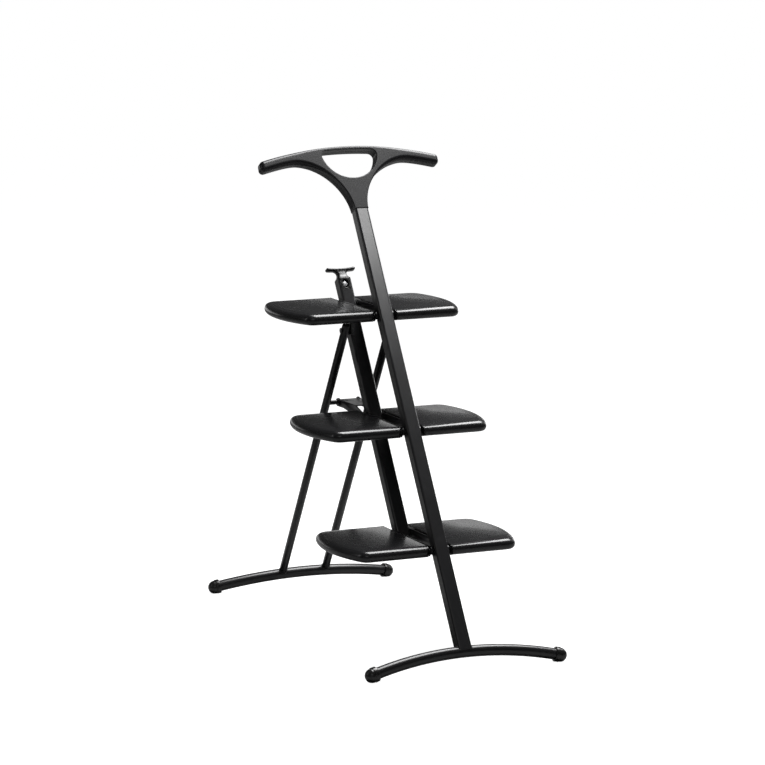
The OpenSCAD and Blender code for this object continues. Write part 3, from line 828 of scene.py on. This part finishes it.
def outerRounds(points, front):
    # radius of the round at each point of the outer contour
    s = handleSizes
    rounds = []
    for x, y in points:
        reach = abs(x)
        band = math.sqrt((s["barRadius"] - s["topBand"]) ** 2 - min(reach, s["tipFrom"]) ** 2)
        if y < s["height"] - s["barRadius"] + band:
            rounds.append(between(reach, handleRounds["under"]) * (1.0 if front else s["rearShare"]))
        else:
            rounds.append(between(reach, handleRounds["over"]))
    return evened(rounds)


def holeRounds(points):
    split, below, above = handleSizes["holeLower"]
    return evened([below if y < split else above for _, y in points])


def contourNormals(points, outward):
    normals = []
    for k in range(len(points)):
        a, b = points[k - 1], points[(k + 1) % len(points)]
        n = Vector((b[1] - a[1], -(b[0] - a[0]))).normalized()
        normals.append(n * outward)
    return normals


def roundedSlab(contours, half, gap, steps=7):
    # contours: (points, normals, rounds); a closed slab from the parting plane to the rounded face
    bm = bmesh.new()
    lids = ([], [])
    for points, normals, rounds in contours:
        rings = []
        for inset, height in ((gap, 0.0), (0.0, gap * 1.4)):
            rings.append([(p[0] - n.x * inset, p[1] - n.y * inset, height) for p, n in zip(points, normals)])
        for step in range(steps + 1):
            turn = math.pi / 2 * step / steps
            rings.append([(p[0] - n.x * r * (1 - math.cos(turn)), p[1] - n.y * r * (1 - math.cos(turn)),
                           half - r * (1 - math.sin(turn))) for p, n, r in zip(points, normals, rounds)])
        made = loft(bm, rings)
        for lid, ring in zip(lids, (made[0], made[-1])):
            lid += [bm.edges.get((ring[k], ring[(k + 1) % len(ring)])) for k in range(len(ring))]
    for lid in lids:
        bmesh.ops.triangle_fill(bm, use_beauty=True, use_dissolve=False, edges=lid)
    return bm


def makeHandle():
    outer, hole = handleContour(), holeContour()
    outerNormals, holeNormals = contourNormals(outer, 1), contourNormals(hole, -1)
    frontTurn = placed(acrossDir, railDir, railFront, railEnd)
    for front, name, node in ((True, "handleFront", "handle_front"), (False, "handleRear", "handle_rear")):
        bm = roundedSlab([(outer, outerNormals, outerRounds(outer, front)),
                          (hole, holeNormals, holeRounds(hole))],
                         handleSizes["thickness"] / 2, handleSizes["partingGap"])
        bm.transform(Matrix.Diagonal((mm, mm, mm if front else -mm, 1)))
        bm.transform(frontTurn)
        meshData = withModifiers(meshFrom(bm, name, 50),
                                 [("WEIGHTED_NORMAL", {"keep_sharp": True, "weight": 80})], 50)
        handleShells.append(addPiece(name, meshData, "front_frame", "handle_plastic", [node]))
    stud = screwStud(screwSizes["handleRadius"], screwSizes["handleHead"])
    stud.data.transform(Matrix.Rotation(math.pi, 4, "X"))
    lift = handleSizes["thickness"] / 2 * mm
    back = frontTurn.inverted()
    places = [back @ centre for centre, _, _ in islands("handle_screws")]
    meshData = runTree(studTree, pathMesh([(p.x, p.y, -lift) for p in places]),
                       {"Stud": stud, "Finish": finishes["bright_steel"]})
    bpy.data.objects.remove(stud)
    meshData.transform(frontTurn)
    addPiece("handleScrews", meshData, "front_frame", "bright_steel", ["handle_screws"])


handleShells = []
makeHandle()
print("handle made")


# ---- rails and legs ----

# in millimetres; the tubes' lengths come from the CAD solids
tubeSizes = {"width": 32.0, "depth": 27.0, "corner": 5.0, "wall": 2.0, "lip": 0.5,
             "notchWidth": 23.0, "notchHeight": 26.0, "notchDepth": 4.0, "overcut": 1.0,
             "legRadius": 9.0, "legWall": 1.5, "legLip": 0.3, "taper": (16.0, 13.0)}


def tubeBody(outer, inner, low, high, lip):
    # a closed tube from low to high along z, with its outer end edges broken
    bm = bmesh.new()
    taperX, taperY = tubeSizes["taper"]
    shrunk = [(x * (1 - lip / taperX), y * (1 - lip / taperY)) for x, y in outer]
    rings = [[(*p, low) for p in inner], [(*p, low) for p in shrunk], [(*p, low + lip) for p in outer],
             [(*p, high - lip) for p in outer], [(*p, high) for p in shrunk], [(*p, high) for p in inner]]
    made = loft(bm, rings)
    for k in range(len(inner)):
        n = (k + 1) % len(inner)
        bm.faces.new((made[-1][k], made[-1][n], made[0][n], made[0][k]))
    return bm


def makeRail(name, node, notch):
    s = tubeSizes
    reach = [value / mm for value in span(node, railDir)]
    middle = sum(span(node, railFront)) / 2
    outer = roundedBox(s["width"], s["depth"], s["corner"], 7)
    inner = roundedBox(s["width"] - 2 * s["wall"], s["depth"] - 2 * s["wall"], s["corner"] - s["wall"], 7)
    meshData = meshFrom(tubeBody(outer, inner, reach[0], reach[1], s["lip"]), name, 50)
    steps = []
    if notch:
        cutter = bmesh.new()
        bmesh.ops.create_cube(cutter, size=1.0)
        place = (0, s["depth"] / 2, reach[1] - s["notchHeight"] / 2 + s["overcut"])
        size = (s["notchWidth"], 2 * s["notchDepth"], s["notchHeight"] + 2 * s["overcut"], 1)
        cutter.transform(Matrix.Translation(place) @ Matrix.Diagonal(size))
        tool = bpy.data.objects.new("notch", meshFrom(cutter, "notch"))
        bpy.context.scene.collection.objects.link(tool)
        steps.append(("BOOLEAN", {"operation": "DIFFERENCE", "object": tool, "solver": "EXACT"}))
    steps += [("BEVEL", {"width": 0.3, "segments": 2, "limit_method": "ANGLE",
                         "angle_limit": math.radians(50)}),
              ("WEIGHTED_NORMAL", {"keep_sharp": True, "weight": 90})]
    meshData = withModifiers(meshData, steps, 50)
    if notch:
        bpy.data.objects.remove(tool)
    meshData.transform(placed(acrossDir * -mm, railFront * mm, railDir * mm, railFront * middle))
    return addPiece(name, meshData, bodyOf[node], "steel_paint", [node])


def makeLeg(name, node):
    s = tubeSizes
    reach = [value / mm for value in span(node, legDir)]
    centre = sum(span(node, acrossDir)) / 2
    middle = legHinge.dot(legFront)
    outer = arc((0, 0), s["legRadius"], 0, 352.5, 47)
    inner = arc((0, 0), s["legRadius"] - s["legWall"], 0, 352.5, 47)
    meshData = meshFrom(tubeBody(outer, inner, reach[0], reach[1], s["legLip"]), name, 50)
    origin = acrossDir * centre + legFront * middle
    meshData.transform(placed(acrossDir * -mm, legFront * mm, legDir * mm, origin))
    addPiece(name, meshData, bodyOf[node], "steel_paint", [node])


frontRail = makeRail("frontRail", "front_rail", False)
makeRail("innerRail", "inner_rail", True)
makeLeg("leg.left", "rear_leg_left")
makeLeg("leg.right", "rear_leg_right")
print("rails and legs made")


# ---- pull grip on the second rail ----

# in millimetres; each neck section is (height over the rail's end, width, depth, corner)
gripSizes = {"neck": [(0.0, 31.2, 26.2, 4.5), (0.4, 32.0, 27.0, 5.0), (1.6, 32.0, 27.0, 5.0),
                      (2.4, 31.0, 25.8, 5.2), (5.0, 27.6, 22.4, 6.0), (8.5, 24.2, 18.6, 6.4),
                      (12.0, 23.2, 16.4, 6.4), (15.5, 24.2, 14.8, 6.2), (18.5, 27.6, 13.6, 6.0),
                      (21.0, 33.5, 12.8, 5.6), (23.6, 46.0, 12.2, 5.2)],
             "barHalf": 35.0, "barTip": 4.0, "barSteps": 24, "barLift": 24.9, "barRise": 2.2,
             "barThick": 3.1, "thickGain": 1.0, "barDeep": 6.6, "deepGain": 0.4, "tipShare": 0.55,
             "barRound": 0.92, "plateWidth": 22.4, "plateHeight": 25.4, "plateHalf": 5.4, "plateCorner": 1.2,
             "plateEdge": 0.5, "plateGap": 0.2, "plateDown": 13.0, "plateOut": 7.9,
             "ovalWidth": 6.6, "ovalHeight": 10.2, "ovalLift": 0.6, "ovalEdge": 1.1,
             "bodyWidth": 28.0, "bodyDepth": 18.5, "bodyLength": 38.0, "bodyBack": 2.2, "bodyCorner": 2.5,
             "bodyTop": 0.2}


def gripBar():
    # the crosspiece: its ends rise a little and are rounded off
    s = gripSizes
    half, tip, steps = s["barHalf"], s["barTip"], s["barSteps"]
    rings = []
    ends = [-half + tip * (1 - math.cos(math.radians(a))) for a in range(0, 91, 15)]
    middle = [-half + tip + k * 2 * (half - tip) / steps for k in range(1, steps)]
    for x in ends + middle + [-x for x in reversed(ends)]:
        share = abs(x) / half
        close = math.sqrt(max(1 - max((abs(x) - half + tip) / tip, 0) ** 2, 0.01))
        thick = (s["barThick"] + s["thickGain"] * share ** 2) * close
        deep = (s["barDeep"] + s["deepGain"] * share ** 2) * (s["tipShare"] + (1 - s["tipShare"]) * close)
        lift = s["barLift"] + s["barRise"] * share ** 2
        corner = min(thick, deep) * s["barRound"]
        rings.append([(x, across, lift + up) for across, up in roundedBox(2 * deep, 2 * thick, corner, 5)])
    return closedLoft(rings)


def makeGrip():
    s = gripSizes
    top = span("inner_rail", railDir)[1]
    middle = sum(span("inner_rail", railFront)) / 2
    end = railDir * top + railFront * middle
    upright = placed(acrossDir * -mm, railFront * mm, railDir * mm, end)
    neck = [[(*p, lift) for p in roundedBox(width, depth, corner, 8)]
            for lift, width, depth, corner in s["neck"]]
    section = roundedBox(s["bodyWidth"], s["bodyDepth"], s["bodyCorner"])
    inside = [[(x, y - s["bodyBack"], z) for x, y in section] for z in (-s["bodyLength"], s["bodyTop"])]
    whole = bmesh.new()
    for bm in (gripBar(), closedLoft(neck), closedLoft(inside)):
        part = meshFrom(bm, "gripPart", 40)
        part.transform(upright)
        whole.from_mesh(part)
    plate = roundedBox(s["plateWidth"], s["plateHeight"], s["plateCorner"], 4)
    turns = [math.radians(7.5 * k) for k in range(48)]
    oval = [(s["ovalWidth"] * math.cos(a), s["ovalLift"] + s["ovalHeight"] * math.sin(a)) for a in turns]
    slab = roundedSlab([(plate, contourNormals(plate, 1), [s["plateEdge"]] * len(plate)),
                        (oval, contourNormals(oval, -1), [s["ovalEdge"]] * len(oval))],
                       s["plateHalf"], s["plateGap"])
    part = meshFrom(slab, "gripPart", 40)
    origin = end - railDir * s["plateDown"] * mm + railFront * s["plateOut"] * mm
    part.transform(placed(acrossDir * mm, railDir * mm, railFront * mm, origin))
    whole.from_mesh(part)
    meshData = bpy.data.meshes.new("pullGrip")
    whole.to_mesh(meshData)
    whole.free()
    addPiece("pullGrip", meshData, bodyOf["pull_grip"], "cap_plastic", ["pull_grip"])


makeGrip()
print("grip made")


# ---- the rest: CAD solids with their edges broken ----

softSizes = {
    "inner_rail_plug": 0.6, "grip_screw": 0.5,
    "handle_core": 0.4, "front_bushes": 0.3, "inner_bushes": 0.3,
    "tread_1_arms": 0.5, "tread_2_arms": 0.5, "tread_3_arms": 0.5,
    "tread_1_front_pin": 0.4, "tread_2_front_pin": 0.4, "tread_3_front_pin": 0.4,
    "tread_1_rear_pin": 0.4, "tread_2_rear_pin": 0.4, "tread_3_rear_pin": 0.4,
    "leg_brackets": 0.7, "leg_hinge_bolts": 0.5,
    "rear_leg_plugs": 0.3, "crossbar": 0.2, "stay": 0.7, "stay_washers": 0.3,
}
slotOf = {row["node"]: row["material_slot"] for row in frame["record"]["subparts"]}
for node, width in softSizes.items():
    words = node.split("_")
    name = words[0] + "".join(word.capitalize() for word in words[1:])
    addPiece(name, softened(node, width * mm), bodyOf[node], slotOf[node], [node])
print("solids softened")


# ---- floor, lights, camera ----

def makeFloor():
    meshData = bpy.data.meshes.new("floor")
    meshData.from_pydata([(-60, -60, 0), (60, -60, 0), (60, 60, 0), (-60, 60, 0)], [], [(0, 1, 2, 3)])
    floor = bpy.data.objects.new("floor", meshData)
    bpy.context.scene.collection.objects.link(floor)
    material = bpy.data.materials.new("paleFloor")
    material.use_nodes = True
    wire = Wire(material.node_tree)
    seen = wire.node("ShaderNodeLightPath", out="Is Camera Ray")
    plain = wire.node("ShaderNodeBsdfDiffuse", None, {"Color": (0.34, 0.34, 0.34, 1)})
    lift = wire.node("ShaderNodeEmission", None, {"Color": (1, 1, 1, 1), "Strength": seen * 0.98})
    both = wire.node("ShaderNodeAddShader", None, {0: plain, 1: lift})
    material.node_tree.links.new(both.socket, material.node_tree.nodes["Material Output"].inputs["Surface"])
    meshData.materials.append(material)


def makeLight(name, place, aim, width, height, power, only=None):
    data = bpy.data.lights.new(name, "AREA")
    data.shape = "RECTANGLE"
    data.size, data.size_y = width, height
    data.energy = power
    light = bpy.data.objects.new(name, data)
    bpy.context.scene.collection.objects.link(light)
    light.location = place
    light.rotation_mode = "QUATERNION"
    light.rotation_quaternion = (Vector(aim) - Vector(place)).to_track_quat("-Z", "Y")
    light.visible_camera = False
    if only:
        lit = bpy.data.collections.new(name + "Lit")
        for piece in only:
            lit.objects.link(piece)
        light.light_linking.receiver_collection = lit


makeFloor()
lightSizes = {
    "railSoftbox": ((0.47, -0.46, 1.91), (0.0, 0.13, 0.955), 0.9, 0.40, 12),
    "handleSoftbox": ((0.47, -0.46, 1.91), (0.0, 0.13, 0.955), 0.9, 0.50, 2.4),
    "topSoftbox": ((1.05, 0.40, 2.9), (0.0, 0.0, 0.5), 1.8, 1.9, 130),
    "leftStrip": ((-2.8, 0.5, 1.5), (0.0, 0.0, 0.6), 0.3, 1.6, 4),
    "rightStrip": ((3.0, 0.5, 1.9), (0.0, 0.0, 0.6), 1.0, 1.6, 4),
    "lowRight": ((2.9, 1.9, 0.7), (0.0, 0.0, 0.5), 0.9, 1.0, 8),
    "backWall": ((1.5, 5.0, 0.40), (0.3, 0.0, 0.40), 12.0, 0.9, 30),
    "frontFill": ((-1.8, -4.2, 2.6), (0.0, 0.0, 0.4), 2.0, 2.0, 10),
}
litOnly = {"railSoftbox": [frontRail], "handleSoftbox": handleShells}
for name, (place, aim, width, height, power) in lightSizes.items():
    makeLight(name, place, aim, width, height, power, litOnly.get(name))

world = bpy.data.worlds.new("studio")
bpy.context.scene.world = world
world.use_nodes = True
air = Wire(world.node_tree)
seen = air.node("ShaderNodeLightPath", out="Is Camera Ray")
world.node_tree.links.new((0.06 + 1.0 * seen).socket, world.node_tree.nodes["Background"].inputs["Strength"])
world.node_tree.nodes["Background"].inputs["Color"].default_value = (1, 1, 1, 1)

cameraSizes = {"place": (-2.96455, -6.62632, 1.75850), "turn": 24.15, "drop": 9.44, "lens": 156.64}
cameraData = bpy.data.cameras.new("camera")
cameraData.lens = cameraSizes["lens"]
cameraData.sensor_width = 36
cameraData.clip_end = 200
camera = bpy.data.objects.new("camera", cameraData)
bpy.context.scene.collection.objects.link(camera)
camera.location = cameraSizes["place"]
camera.rotation_euler = (math.radians(90 - cameraSizes["drop"]), 0, math.radians(-cameraSizes["turn"]))
bpy.context.scene.camera = camera
bpy.context.scene.view_settings.view_transform = "Standard"
print("stage made")
